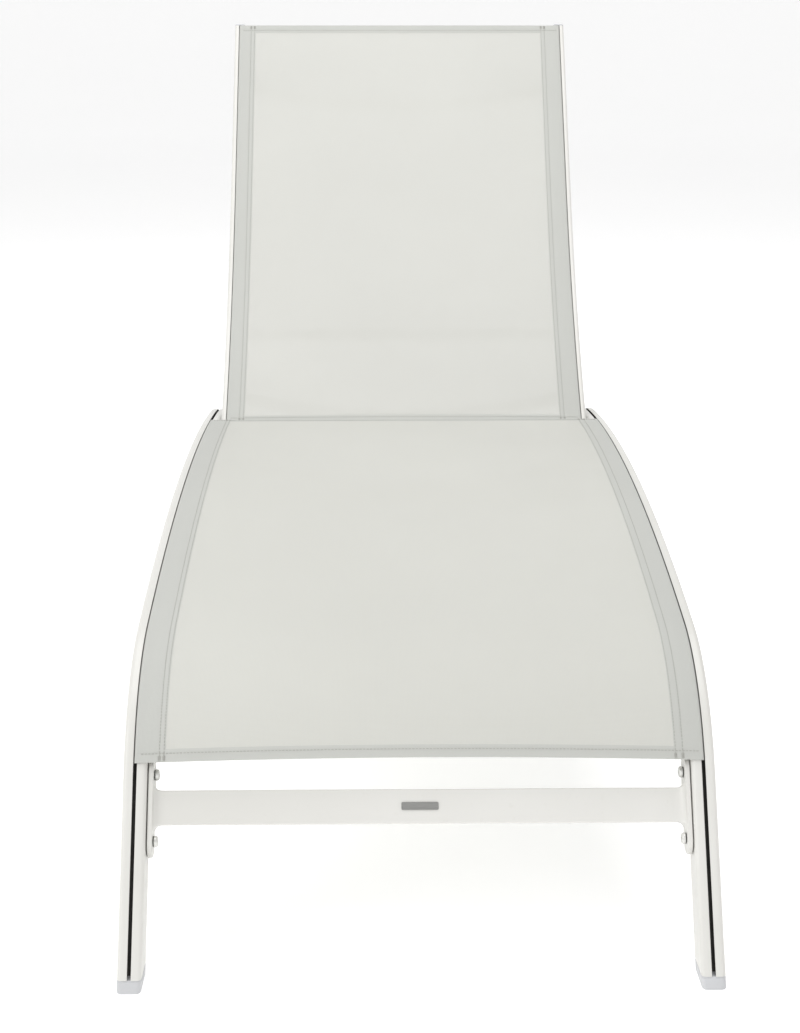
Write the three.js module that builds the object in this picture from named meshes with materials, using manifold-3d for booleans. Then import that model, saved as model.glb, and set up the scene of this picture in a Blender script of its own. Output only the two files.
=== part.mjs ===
// A reclining sun lounger. Two arched aluminium side rails stand on their own bent ends and carry a
// stretched sling seat. A curved sling backrest hinges between them and leans on a swinging prop,
// whose cross bar meets the notched racks under the backrest.
//
// Millimetres and degrees. X runs across, Y from the foot end to the head end, Z up. Side views are
// drawn with Y measured from the front feet; the finished group is moved so that its origin is the
// middle of its footprint on the floor.

import * as THREE from 'three';
import { mergeVertices } from 'three/addons/utils/BufferGeometryUtils.js';
import Module from 'manifold-3d';

// ---------------------------------------------------------------- driving dimensions

const GAP = 0.3; // between pieces that touch
const BIG = 4000; // larger than the lounger, for cutting blocks

// Side rails: an extrusion with a sling channel in its top face.
const SIDE_SLOTS = 614; // across the lounger, between the two sling slots
const SIDE = { width: 26, depth: 40, wall: 2, corner: 5, slot: 4, lip: 2, channel: 4.2 };
const LEG_SLOPE = 60;
const LEG_RISE = 197; // height of the front leg's straight part
const FRONT_BEND = 240; // radii of the top face
const ARCH = 3335;
const REAR_BEND = 200;
const ARCH_START = 11; // slopes where the arch begins and ends
const ARCH_END = -5.9;
const FOOT_HEIGHT = 12;
const TONGUE = 24; // length of each cap's tongue inside its rail
const TONGUE_FIT = 0.5; // clearance round each tongue

// Backrest: a lighter extrusion, curved above its hinge and straight near the top.
const BACK_SLOTS = 564;
const BACK = { width: 18, depth: 34, wall: 1.6, corner: 4, slot: 3.4, lip: 1.8, channel: 3.6 };
const HINGE = { y: 1122, z: 343 };
const BACK_SLOPE = 38.5; // at the hinge
const BACK_RADIUS = 1700;
const BACK_CURVED = 500; // length of the curved part
const BACK_LENGTH = 810; // from the hinge to the upper end of the rail
const BACK_TAIL = 9; // rail beyond the hinge, below it
const UPPER_CAP = 4;
const LOWER_CAP = 6;
const CAP_STEP = 4; // how far the lower cap's nose is set in

// Slings, measured along the rails' top faces.
const SLING_THICK = 1.2;
const SEAT_FRONT = 241.5; // from the front foot to the seat's front hem
const SEAT_REAR_Y = 1115;
const BACK_SLING_FROM = 12;
const BACK_SLING_TO = 808.5;
const SLING_INSET = 0.5; // of the cloth's edge from the middle of its slot
const SPLINE_INSET = 1; // of a keder rod's ends from the cloth's
const SIDE_SPLINE_R = 3.2; // keder rods inside the channels
const BACK_SPLINE_R = 2.7;

// Crossbars between the legs, placed along the leg from the foot.
const CROSSBAR_AT = 195.4;
const CROSSBAR_HEIGHT = 36.8;
const CROSSBAR_THICK = 12;
const CROSSBAR_FILLET = 8.5;
const PLATE = { length: 106, width: 30, thick: 6 };
const BOLT_SPACING = 71.5;
const BOLT = { headR: 6.3, headH: 5, shankR: 4, shankL: 16 };
const NAMEPLATE = { width: 40, height: 8.5, thick: 0.8 };

// Bowed cross tubes.
const TUBE_R = 10;
const TUBE_WALL = 1.5;
const TUBE_BOW = 57;
const TUBE_OVERRUN = 1.08; // swept past its ends by this factor, then cut flush
const BACK_TUBES = { lower: 80, upper: 693 }; // distances from the hinge
const SEAT_TUBE_AT = 1120; // along the side rail's top face

// Prop and racks. The cross bar meets the racks behind the backrest rails' centre line.
const PROP_PIVOT = { y: 1365, z: 270 };
const PROP_MEETS = 230; // along the backrest, from the hinge
const RACK_DROP = 40; // bar's centre behind the backrest's centre line
const PROP_BAR_R = 9;
const PROP_ARM = { width: 20, thick: 6, gap: 1.5 }; // gap to the side rail, for its washer
const PROP_WASHER_R = 9;
const RACK = { from: 202, to: 466, thick: 5, edge: 30.4, back: -8 };
const NOTCHES = 5;
const NOTCH_STEP = 52.25;
const NOTCH_R = 9.6;
const RACK_SCREWS = [258, 412];
const SCREW = { headR: 4.2, headH: 2.6, shankR: 2.4, shankL: 8 };

// Pivots: the hinge and the prop turn on bolts through the side rails' inner walls.
const PIVOT_SHANK = 4;
const PIVOT_REACH = 12; // of each shank past the wall
const BORE_CLEARANCE = 0.08;
const HINGE_HEAD = { headR: 8, headH: 4.5 };
const PROP_HEAD = { headR: 7.5, headH: 4 };
const BUSH_R = 6;
const FLANGE = { r: 11, thick: 2.4 };

// ---------------------------------------------------------------- materials

function finish(color, roughness, metalness) {
  return () => new THREE.MeshStandardMaterial({ color, roughness, metalness });
}
const whitePaint = finish(0xe8e7e4, 0.42, 0.1);
const slingCloth = finish(0xe0e0da, 0.85, 0);
const greyPlastic = finish(0xd4d5d9, 0.55, 0);
const whiteNylon = finish(0xe6e6e2, 0.5, 0);
const steel = finish(0xd8d8d6, 0.32, 0.9);
const badgeMetal = finish(0x9c9c9a, 0.35, 0.8);
const splineVinyl = finish(0xf0f0ec, 0.6, 0);

// ---------------------------------------------------------------- routes in the side view

const rad = THREE.MathUtils.degToRad;

// A run of straights and arcs in the YZ plane. Each segment is { length, turn, steps }.
class Route {
  constructor(y, z, heading, segments) {
    this.start = { y, z, a: rad(heading) };
    this.segments = segments;
  }

  get length() {
    return this.segments.reduce((sum, part) => sum + part.length, 0);
  }

  // Position and heading at a distance along the route; both ends run on straight.
  at(distance) {
    let { y, z, a } = this.start;
    let left = distance;
    for (const [index, part] of this.segments.entries()) {
      const last = index === this.segments.length - 1;
      const run = left < part.length || last ? left : part.length;
      const bend = rad(part.turn) / part.length;
      const next = a + bend * run;
      if (bend === 0) {
        y += run * Math.cos(a);
        z += run * Math.sin(a);
      } else {
        y += (Math.sin(next) - Math.sin(a)) / bend;
        z -= (Math.cos(next) - Math.cos(a)) / bend;
      }
      a = next;
      left -= run;
      if (left <= 0) break;
    }
    return { y, z, a };
  }

  // Distances to step at between two points: the ends, the joints and the steps of the bends.
  stops(from, to) {
    const list = [from];
    let done = 0;
    for (const part of this.segments) {
      for (let k = 0; k < part.steps; k += 1) {
        const stop = done + (part.length * k) / part.steps;
        if (stop > from + 1 && stop < to - 1) list.push(stop);
      }
      done += part.length;
    }
    list.push(to);
    return list;
  }

  // Matrix of a local frame: X across, Z along the route, Y down into the rail from its top face.
  frame(distance, x = 0) {
    const { y, z, a } = this.at(distance);
    return new THREE.Matrix4().makeRotationX(a - Math.PI / 2).setPosition(x, y, z);
  }
}

// The part of a route between two distances, as a curve to extrude along.
class RouteCurve extends THREE.Curve {
  constructor(route, from, to) {
    super();
    this.places = route.stops(from, to).map((stop) => route.at(stop));
    this.steps = this.places.length - 1;
  }

  place(t) {
    return this.places[Math.round(t * this.steps)];
  }

  getPoint(t, target = new THREE.Vector3()) {
    const { y, z } = this.place(t);
    return target.set(0, y, z);
  }

  getTangent(t, target = new THREE.Vector3()) {
    const { a } = this.place(t);
    return target.set(0, Math.cos(a), Math.sin(a));
  }

  getPointAt(u, target) {
    return this.getPoint(u, target);
  }

  getTangentAt(u, target) {
    return this.getTangent(u, target);
  }
}

function arcSegment(radius, turn, steps) {
  return { length: radius * rad(Math.abs(turn)), turn, steps };
}

const LEG_STRAIGHT = LEG_RISE / Math.sin(rad(LEG_SLOPE));
const sideBends = [
  { length: LEG_STRAIGHT, turn: 0, steps: 1 },
  arcSegment(FRONT_BEND, ARCH_START - LEG_SLOPE, 8),
  arcSegment(ARCH, ARCH_END - ARCH_START, 8),
  arcSegment(REAR_BEND, -LEG_SLOPE - ARCH_END, 9),
];
const rearLegTop = new Route(0, 0, LEG_SLOPE, sideBends);
const rearLegStart = rearLegTop.at(rearLegTop.length);
const sideRoute = new Route(0, 0, LEG_SLOPE, [
  ...sideBends,
  { length: rearLegStart.z / Math.sin(rad(LEG_SLOPE)), turn: 0, steps: 1 },
]);

const backRoute = new Route(HINGE.y, HINGE.z, BACK_SLOPE, [
  arcSegment(BACK_RADIUS, THREE.MathUtils.radToDeg(BACK_CURVED / BACK_RADIUS), 9),
  { length: BACK_LENGTH - BACK_CURVED, turn: 0, steps: 1 },
]);

// Distance along a route at which it reaches a given Y.
function distanceToY(route, y) {
  let low = 0;
  let high = route.length;
  for (let pass = 0; pass < 40; pass += 1) {
    const middle = (low + high) / 2;
    if (route.at(middle).y < y) low = middle;
    else high = middle;
  }
  return low;
}
const SEAT_REAR = distanceToY(sideRoute, SEAT_REAR_Y);

// ---------------------------------------------------------------- shapes and solids

function arcPoints(cx, cy, r, from, to, steps) {
  const points = [];
  for (let k = 0; k <= steps; k += 1) {
    const a = rad(from + ((to - from) * k) / steps);
    points.push(new THREE.Vector2(cx + r * Math.cos(a), cy + r * Math.sin(a)));
  }
  return points;
}

// Rounded block outline, with its top at y = top.
function blockOutline(width, depth, corner, top = 0, steps = 2) {
  const x = width / 2 - corner;
  const high = top - corner;
  const low = top - depth + corner;
  return [
    ...arcPoints(x, high, corner, 90, 0, steps),
    ...arcPoints(x, low, corner, 0, -90, steps),
    ...arcPoints(-x, low, corner, -90, -180, steps),
    ...arcPoints(-x, high, corner, 180, 90, steps),
  ];
}

function channelFloor(rail) {
  const rise = Math.sqrt(rail.channel ** 2 - (rail.slot / 2) ** 2);
  return rail.lip + rise + rail.channel;
}

// Depth of the middle of the rail's sling channel below its top face.
function channelMiddle(rail) {
  return channelFloor(rail) - rail.channel;
}

function cavityOutline(rail, inset = 0) {
  const x = rail.width / 2 - rail.wall - inset;
  const high = -channelFloor(rail) - rail.wall - inset;
  const low = -rail.depth + rail.wall + inset;
  return [
    new THREE.Vector2(-x, low),
    new THREE.Vector2(x, low),
    new THREE.Vector2(x, high),
    new THREE.Vector2(-x, high),
  ];
}

// Section of a rail, y = 0 on its top face (or lifted above it), open at the sling slot.
function railSection(rail, lift = 0) {
  const outline = blockOutline(rail.width, rail.depth, rail.corner);
  const mouth = THREE.MathUtils.radToDeg(Math.acos(rail.slot / 2 / rail.channel));
  const middle = -channelMiddle(rail);
  outline.push(
    new THREE.Vector2(-rail.slot / 2, 0),
    ...arcPoints(0, middle, rail.channel, 180 - mouth, 360 + mouth, 9),
    new THREE.Vector2(rail.slot / 2, 0),
  );
  const raise = (point) => new THREE.Vector2(point.x, point.y + lift);
  const section = new THREE.Shape(outline.map(raise));
  section.holes.push(new THREE.Path(cavityOutline(rail).map(raise)));
  return section;
}

function lifted(points, lift) {
  return new THREE.Shape(points.map((point) => new THREE.Vector2(point.x, point.y + lift)));
}

// Extrudes a section along part of a route: section x across, section y up from the route.
function along(route, from, to, section) {
  const path = new RouteCurve(route, from, to);
  return new THREE.ExtrudeGeometry(section, { extrudePath: path, steps: path.steps });
}

// A flat plate in the side view, from an outline in (Y, Z), between two X positions.
function plate(outline, x0, x1) {
  const shape = outline instanceof THREE.Shape ? outline : new THREE.Shape(outline);
  const geometry = new THREE.ExtrudeGeometry(shape, { depth: x1 - x0, bevelEnabled: false });
  const turn = new THREE.Matrix4().makeBasis(
    new THREE.Vector3(0, 1, 0),
    new THREE.Vector3(0, 0, 1),
    new THREE.Vector3(1, 0, 0),
  );
  return geometry.applyMatrix4(turn).translate(x0, 0, 0);
}

// A solid turned about an axis parallel to X; the profile is [x, radius] pairs from end to end.
function turned(profile, sides = 14) {
  const points = profile.map(([x, r]) => new THREE.Vector2(r, x));
  return new THREE.LatheGeometry(points, sides).rotateZ(-Math.PI / 2);
}

function rodX(r, x0, x1, y = 0, z = 0, sides = 14) {
  return turned([[x0, 0], [x0, r], [x1, r], [x1, 0]], sides).translate(0, y, z);
}

// A round-ended bar in the side view, from one pivot to another.
function strapOutline(from, to, width, steps = 6) {
  const heading = THREE.MathUtils.radToDeg(Math.atan2(to.z - from.z, to.y - from.y));
  return [
    ...arcPoints(from.y, from.z, width / 2, heading + 90, heading + 270, steps),
    ...arcPoints(to.y, to.z, width / 2, heading - 90, heading + 90, steps),
  ];
}

// ---------------------------------------------------------------- joining and cutting

const wasm = await Module();
wasm.setup();

function solid(geometry) {
  const bare = geometry.clone();
  bare.deleteAttribute('normal');
  bare.deleteAttribute('uv');
  const merged = mergeVertices(bare, 1e-3);
  const mesh = new wasm.Mesh({
    numProp: 3,
    vertProperties: new Float32Array(merged.attributes.position.array),
    triVerts: new Uint32Array(merged.index.array),
  });
  return new wasm.Manifold(mesh);
}

function geometryOf(body) {
  const mesh = body.getMesh();
  const geometry = new THREE.BufferGeometry();
  geometry.setAttribute('position', new THREE.BufferAttribute(mesh.vertProperties, 3));
  geometry.setIndex(new THREE.BufferAttribute(mesh.triVerts, 1));
  geometry.computeVertexNormals();
  return geometry;
}

function cut(geometry, cutters) {
  return geometryOf(cutters.reduce((body, tool) => body.subtract(solid(tool)), solid(geometry)));
}

function join(geometries) {
  return geometryOf(geometries.map(solid).reduce((body, next) => body.add(next)));
}

function keep(geometry, block) {
  return geometryOf(solid(geometry).intersect(solid(block)));
}

// A block that fills everything between two heights.
function layer(low, high) {
  return new THREE.BoxGeometry(BIG, BIG, high - low).translate(0, 0, (low + high) / 2);
}

// ---------------------------------------------------------------- building the tree

const lounger = new THREE.Group();

function add(name, geometry, material, matrix = new THREE.Matrix4()) {
  const mesh = new THREE.Mesh(geometry, material());
  mesh.name = name;
  mesh.applyMatrix4(matrix);
  lounger.add(mesh);
}

const sides = [
  { name: 'left', sign: -1 },
  { name: 'right', sign: 1 },
];

// The same distances from both feet: the rear crossbar mirrors the front one.
const crossbarStations = [
  { name: 'front', at: CROSSBAR_AT },
  { name: 'rear', at: sideRoute.length - CROSSBAR_AT },
];

const sideInner = SIDE_SLOTS / 2 - SIDE.width / 2; // inner face of a side rail
const backInner = BACK_SLOTS / 2 - BACK.width / 2; // inner face of a backrest rail
const backOuter = BACK_SLOTS / 2 + BACK.width / 2;
const backLift = BACK.depth / 2; // the backrest route runs along the rail's centre line

const hingeFrame = new THREE.Matrix4().makeTranslation(0, HINGE.y, HINGE.z);
const propFrame = new THREE.Matrix4().makeTranslation(0, PROP_PIVOT.y, PROP_PIVOT.z);

// Rods of a given radius through the inner wall of one side rail, for the bolts that enter it.
function sideRailDrillings(sign) {
  const from = sign * (sideInner - SIDE.wall);
  const to = sign * (sideInner + 3 * SIDE.wall);
  const hole = (matrix, z = 0, y = 0) =>
    rodX(BOLT.shankR + GAP, Math.min(from, to), Math.max(from, to), y, z, 10).applyMatrix4(matrix);
  const holes = [hole(hingeFrame), hole(propFrame)];
  for (const bar of crossbarStations) {
    for (const end of [-1, 1]) {
      holes.push(hole(sideRoute.frame(bar.at), (end * BOLT_SPACING) / 2, SIDE.depth / 2));
    }
  }
  return holes;
}

function buildSideRails() {
  const overrun = 60;
  const whole = along(sideRoute, -overrun, sideRoute.length + overrun, railSection(SIDE));
  for (const { name, sign } of sides) {
    const placed = whole.clone().translate((sign * SIDE_SLOTS) / 2, 0, 0);
    const belowCaps = layer(-BIG, FOOT_HEIGHT + GAP);
    add(`side_rail_${name}`, cut(placed, [belowCaps, ...sideRailDrillings(sign)]), whitePaint);
  }
}

function buildFootCaps() {
  const reach = 90;
  const feet = [
    { name: 'front', from: -reach, to: reach },
    { name: 'rear', from: sideRoute.length - reach, to: sideRoute.length + reach },
  ];
  for (const { name, from, to } of feet) {
    const shell = new THREE.Shape(blockOutline(SIDE.width, SIDE.depth, SIDE.corner));
    const tongue = new THREE.Shape(cavityOutline(SIDE, TONGUE_FIT));
    const inside = layer(FOOT_HEIGHT - 2, FOOT_HEIGHT + TONGUE);
    const shoe = keep(along(sideRoute, from, to, shell), layer(0, FOOT_HEIGHT));
    const plug = keep(along(sideRoute, from, to, tongue), inside);
    const cap = join([shoe, plug]);
    for (const side of sides) {
      const place = new THREE.Matrix4().makeTranslation((side.sign * SIDE_SLOTS) / 2, 0, 0);
      add(`foot_cap_${name}_${side.name}`, cap, greyPlastic, place);
    }
  }
}

// A flat bar whose ends flare into the bolted end plates, drawn in (X, along the leg).
function crossbarGeometry() {
  const plateInner = sideInner - GAP - PLATE.thick;
  const half = CROSSBAR_HEIGHT / 2;
  const r = CROSSBAR_FILLET;
  const quarter = (cx, cz, from, to) => arcPoints(cx, cz, r, from, to, 4);
  const overlap = plateInner + 1;
  const outline = [
    new THREE.Vector2(-overlap, -half - r),
    ...quarter(-plateInner + r, -half - r, 180, 90),
    ...quarter(plateInner - r, -half - r, 90, 0),
    new THREE.Vector2(overlap, -half - r),
    new THREE.Vector2(overlap, half + r),
    ...quarter(plateInner - r, half + r, 0, -90),
    ...quarter(-plateInner + r, half + r, 270, 180),
    new THREE.Vector2(-overlap, half + r),
  ];
  const middle = SIDE.depth / 2;
  const bar = new THREE.ExtrudeGeometry(new THREE.Shape(outline), {
    depth: CROSSBAR_THICK,
    bevelEnabled: false,
  });
  bar.rotateX(Math.PI / 2).translate(0, middle + CROSSBAR_THICK / 2, 0);
  const round = PLATE.length / 2 - PLATE.width / 2;
  const low = { y: middle, z: -round };
  const high = { y: middle, z: round };
  const ends = sides.map(({ sign }) => {
    const x0 = sign > 0 ? plateInner : -plateInner - PLATE.thick;
    return plate(strapOutline(low, high, PLATE.width, 8), x0, x0 + PLATE.thick);
  });
  const holes = sides.flatMap(({ sign }) => [-1, 1].map((way) => {
    const x0 = sign * (plateInner + PLATE.thick / 2) - PLATE.thick;
    return rodX(BOLT.shankR + GAP, x0, x0 + 2 * PLATE.thick, middle, (way * BOLT_SPACING) / 2, 10);
  }));
  return cut(join([bar, ...ends]), holes);
}

// A domed bolt lying along X, head towards the middle of the lounger when turned for its side.
function boltGeometry({ headR, headH, shankR, shankL }, sides = 8) {
  return turned([
    [-headH, 0],
    [-headH, headR * 0.55],
    [-headH * 0.55, headR * 0.92],
    [0, headR],
    [0, shankR],
    [shankL, shankR],
    [shankL, 0],
  ], sides);
}

function mirrorFor(sign) {
  return sign > 0 ? new THREE.Matrix4() : new THREE.Matrix4().makeRotationZ(Math.PI);
}

function buildCrossbars() {
  const bar = crossbarGeometry();
  const bolt = boltGeometry(BOLT);
  const seat = sideInner - GAP - PLATE.thick - GAP;
  for (const { name, at } of crossbarStations) {
    const frame = sideRoute.frame(at);
    add(`${name}_crossbar`, bar, whitePaint, frame);
    for (const side of sides) {
      for (const [level, end] of [['lower', -1], ['upper', 1]]) {
        const offset = (name === 'front' ? end : -end) * (BOLT_SPACING / 2);
        const place = new THREE.Matrix4()
          .makeTranslation(side.sign * seat, SIDE.depth / 2, offset)
          .premultiply(frame)
          .multiply(mirrorFor(side.sign));
        add(`crossbar_bolt_${name}_${side.name}_${level}`, bolt, steel, place);
      }
    }
  }
  const badge = new THREE.BoxGeometry(NAMEPLATE.width, NAMEPLATE.thick, NAMEPLATE.height);
  const face = SIDE.depth / 2 - CROSSBAR_THICK / 2 - GAP - NAMEPLATE.thick / 2;
  const place = new THREE.Matrix4().makeTranslation(0, face, 0);
  add('nameplate', badge, badgeMetal, place.premultiply(sideRoute.frame(CROSSBAR_AT)));
}

// A hollow tube bowed in the (X, depth) plane, ended flush with two rails.
function bowedTube(halfSpan) {
  const radius = (halfSpan ** 2 + TUBE_BOW ** 2) / (2 * TUBE_BOW);
  const sweep = THREE.MathUtils.radToDeg(Math.asin(halfSpan / radius)) * TUBE_OVERRUN;
  const bow = new Route(0, 0, sweep, [arcSegment(radius, -2 * sweep, 10)]);
  const ring = new THREE.Shape(arcPoints(0, 0, TUBE_R, 0, 324, 9));
  ring.holes.push(new THREE.Path(arcPoints(0, 0, TUBE_R - TUBE_WALL, 0, 324, 9)));
  const tube = along(bow, 0, bow.length, ring);
  const top = bow.at(bow.length / 2);
  tube.translate(0, -top.y, -top.z + TUBE_BOW);
  tube.rotateZ(-Math.PI / 2).rotateX(-Math.PI / 2);
  return keep(tube, new THREE.BoxGeometry(2 * halfSpan, BIG, BIG));
}

function buildCrossTubes() {
  const backTube = bowedTube(backInner - GAP);
  for (const [name, at] of Object.entries(BACK_TUBES)) {
    add(`backrest_cross_tube_${name}`, backTube, whitePaint, backRoute.frame(at));
  }
  const place = new THREE.Matrix4().makeTranslation(0, SIDE.depth / 2, 0);
  place.premultiply(sideRoute.frame(SEAT_TUBE_AT));
  add('seat_cross_tube', bowedTube(sideInner - GAP), whitePaint, place);
}

// A sling lies just above the slotted faces; its keder rods sit in the channels.
function buildSling(name, { route, rail, slots, from, to, rodR, lift }) {
  const half = slots / 2 - SLING_INSET;
  const low = lift + GAP;
  const sheet = new THREE.Shape([
    new THREE.Vector2(-half, low),
    new THREE.Vector2(half, low),
    new THREE.Vector2(half, low + SLING_THICK),
    new THREE.Vector2(-half, low + SLING_THICK),
  ]);
  add(`${name}_sling`, along(route, from, to, sheet), slingCloth);
  const section = lifted(arcPoints(0, -channelMiddle(rail), rodR, 0, 300, 5), lift);
  const rod = along(route, from + SPLINE_INSET, to - SPLINE_INSET, section);
  for (const side of sides) {
    const place = new THREE.Matrix4().makeTranslation((side.sign * slots) / 2, 0, 0);
    add(`${name}_spline_${side.name}`, rod, splineVinyl, place);
  }
}

function rackScrewRods(sign, reach, r) {
  const x0 = sign > 0 ? backInner - reach : -backInner - reach;
  return RACK_SCREWS.map((at) =>
    rodX(r, x0, x0 + 2 * reach, 0, 0, 8).applyMatrix4(backRoute.frame(at)));
}

function buildBackrestRails() {
  const section = railSection(BACK, backLift);
  const whole = along(backRoute, -BACK_TAIL, BACK_LENGTH, section);
  for (const { name, sign } of sides) {
    const placed = whole.clone().translate((sign * BACK_SLOTS) / 2, 0, 0);
    const x0 = Math.min(sign * backInner, sign * backOuter) - 2;
    const bushHole = rodX(BUSH_R + GAP, x0, x0 + BACK.width + 4).applyMatrix4(hingeFrame);
    const screwHoles = rackScrewRods(sign, BACK.wall + 1, SCREW.shankR + GAP);
    add(`backrest_rail_${name}`, cut(placed, [bushHole, ...screwHoles]), whitePaint);
  }
}

function buildBackrestCaps() {
  const outline = blockOutline(BACK.width, BACK.depth, BACK.corner);
  const shell = lifted(outline, backLift);
  const tongue = lifted(cavityOutline(BACK, TONGUE_FIT), backLift);
  const upper = join([
    along(backRoute, BACK_LENGTH + GAP, BACK_LENGTH + GAP + UPPER_CAP, shell),
    along(backRoute, BACK_LENGTH - TONGUE, BACK_LENGTH + GAP + 2, tongue),
  ]);
  const lowerEnd = -BACK_TAIL - GAP;
  const noseDepth = BACK.depth - 2 * CAP_STEP;
  const nose = lifted(blockOutline(BACK.width, noseDepth, BACK.corner), backLift - CAP_STEP);
  const lower = join([
    along(backRoute, lowerEnd - LOWER_CAP / 2, lowerEnd, shell),
    along(backRoute, lowerEnd - LOWER_CAP, lowerEnd - 1, nose),
  ]);
  for (const side of sides) {
    const place = new THREE.Matrix4().makeTranslation((side.sign * BACK_SLOTS) / 2, 0, 0);
    add(`backrest_cap_upper_${side.name}`, upper, greyPlastic, place);
    add(`backrest_cap_lower_${side.name}`, lower, greyPlastic, place);
  }
}

// A notched plate on the inner face of a backrest rail, its lower edge just clear of the prop's bar.
function buildRacks() {
  const face = new THREE.Shape([
    new THREE.Vector2(-RACK.thick / 2, -RACK.back),
    new THREE.Vector2(-RACK.thick / 2, -RACK.edge),
    new THREE.Vector2(RACK.thick / 2, -RACK.edge),
    new THREE.Vector2(RACK.thick / 2, -RACK.back),
  ]);
  const blank = along(backRoute, RACK.from, RACK.to, face);
  const notches = [];
  for (let k = 0; k < NOTCHES; k += 1) {
    const rod = rodX(NOTCH_R, -RACK.thick, RACK.thick, RACK.edge, 0, 16);
    notches.push(rod.applyMatrix4(backRoute.frame(PROP_MEETS + k * NOTCH_STEP)));
  }
  const screw = boltGeometry(SCREW, 8);
  for (const { name, sign } of sides) {
    const x = sign * (backInner - GAP - RACK.thick / 2);
    const drilled = cut(blank, notches).translate(x, 0, 0);
    const rack = cut(drilled, rackScrewRods(sign, RACK.thick + 1, SCREW.shankR + GAP));
    add(`adjusting_rack_${name}`, rack, whiteNylon);
    for (const [index, at] of RACK_SCREWS.entries()) {
      const seat = backInner - GAP - RACK.thick - GAP;
      const place = backRoute.frame(at, sign * seat).multiply(mirrorFor(sign));
      add(`rack_screw_${name}_${index + 1}`, screw, steel, place);
    }
  }
}

function buildHinges() {
  const bush = turned([
    [backInner + GAP, PIVOT_SHANK + BORE_CLEARANCE],
    [backInner + GAP, BUSH_R],
    [backOuter + GAP, BUSH_R],
    [backOuter + GAP, FLANGE.r],
    [backOuter + GAP + FLANGE.thick, FLANGE.r],
    [backOuter + GAP + FLANGE.thick, PIVOT_SHANK + BORE_CLEARANCE],
    [backInner + GAP, PIVOT_SHANK + BORE_CLEARANCE],
  ], 16);
  const shankL = sideInner + SIDE.wall + PIVOT_REACH - backInner;
  const bolt = boltGeometry({ ...HINGE_HEAD, shankR: PIVOT_SHANK, shankL }, 16);
  for (const { name, sign } of sides) {
    const turn = mirrorFor(sign);
    add(`hinge_bush_${name}`, bush, whiteNylon, hingeFrame.clone().multiply(turn));
    const head = new THREE.Matrix4().makeTranslation(sign * (backInner - GAP), 0, 0);
    add(`hinge_bolt_${name}`, bolt, steel, hingeFrame.clone().multiply(head).multiply(turn));
  }
}

function buildProp() {
  const meet = new THREE.Vector3(0, RACK_DROP, 0).applyMatrix4(backRoute.frame(PROP_MEETS));
  const tip = { y: meet.y - PROP_PIVOT.y, z: meet.z - PROP_PIVOT.z };
  const armOuter = sideInner - PROP_ARM.gap;
  const armInner = armOuter - PROP_ARM.thick;
  const bar = new THREE.Shape(arcPoints(0, 0, PROP_BAR_R, 0, 330, 11));
  bar.holes.push(new THREE.Path(arcPoints(0, 0, PROP_BAR_R - TUBE_WALL, 0, 330, 11)));
  const barHalf = armInner - GAP;
  add('prop_bar', plate(bar, -barHalf, barHalf).translate(0, tip.y, tip.z), whitePaint, propFrame);
  const pivot = { y: 0, z: 0 };
  const outline = new THREE.Shape(strapOutline(pivot, tip, PROP_ARM.width));
  outline.holes.push(new THREE.Path(arcPoints(0, 0, PIVOT_SHANK + BORE_CLEARANCE, 0, 345, 23)));
  const washer = new THREE.Shape(arcPoints(0, 0, PROP_WASHER_R, 0, 345, 23));
  washer.holes.push(new THREE.Path(arcPoints(0, 0, PIVOT_SHANK + GAP, 0, 345, 23)));
  const shankL = sideInner + SIDE.wall + PIVOT_REACH - armInner;
  const bolt = boltGeometry({ ...PROP_HEAD, shankR: PIVOT_SHANK, shankL }, 16);
  for (const { name, sign } of sides) {
    const x0 = sign > 0 ? armInner : -armOuter;
    add(`prop_arm_${name}`, plate(outline, x0, x0 + PROP_ARM.thick), whitePaint, propFrame);
    const w0 = sign > 0 ? armOuter + GAP : -sideInner + GAP;
    const thick = sideInner - armOuter - 2 * GAP;
    add(`prop_washer_${name}`, plate(washer, w0, w0 + thick), whiteNylon, propFrame);
    const head = new THREE.Matrix4().makeTranslation(sign * (armInner - GAP), 0, 0);
    const place = propFrame.clone().multiply(head).multiply(mirrorFor(sign));
    add(`prop_bolt_${name}`, bolt, steel, place);
  }
}

buildSideRails();
buildFootCaps();
buildCrossbars();
buildCrossTubes();
buildSling('seat', {
  route: sideRoute,
  rail: SIDE,
  slots: SIDE_SLOTS,
  from: SEAT_FRONT,
  to: SEAT_REAR,
  rodR: SIDE_SPLINE_R,
  lift: 0,
});
buildBackrestRails();
buildBackrestCaps();
buildSling('backrest', {
  route: backRoute,
  rail: BACK,
  slots: BACK_SLOTS,
  from: BACK_SLING_FROM,
  to: BACK_SLING_TO,
  rodR: BACK_SPLINE_R,
  lift: backLift,
});
buildRacks();
buildHinges();
buildProp();

const extent = new THREE.Box3().setFromObject(lounger, true);
lounger.position.y = -(extent.min.y + extent.max.y) / 2;
lounger.updateMatrixWorld(true);

export default lounger;
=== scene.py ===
import math

import bmesh
import bpy
import numpy as np
from mathutils import Matrix, Vector


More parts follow.
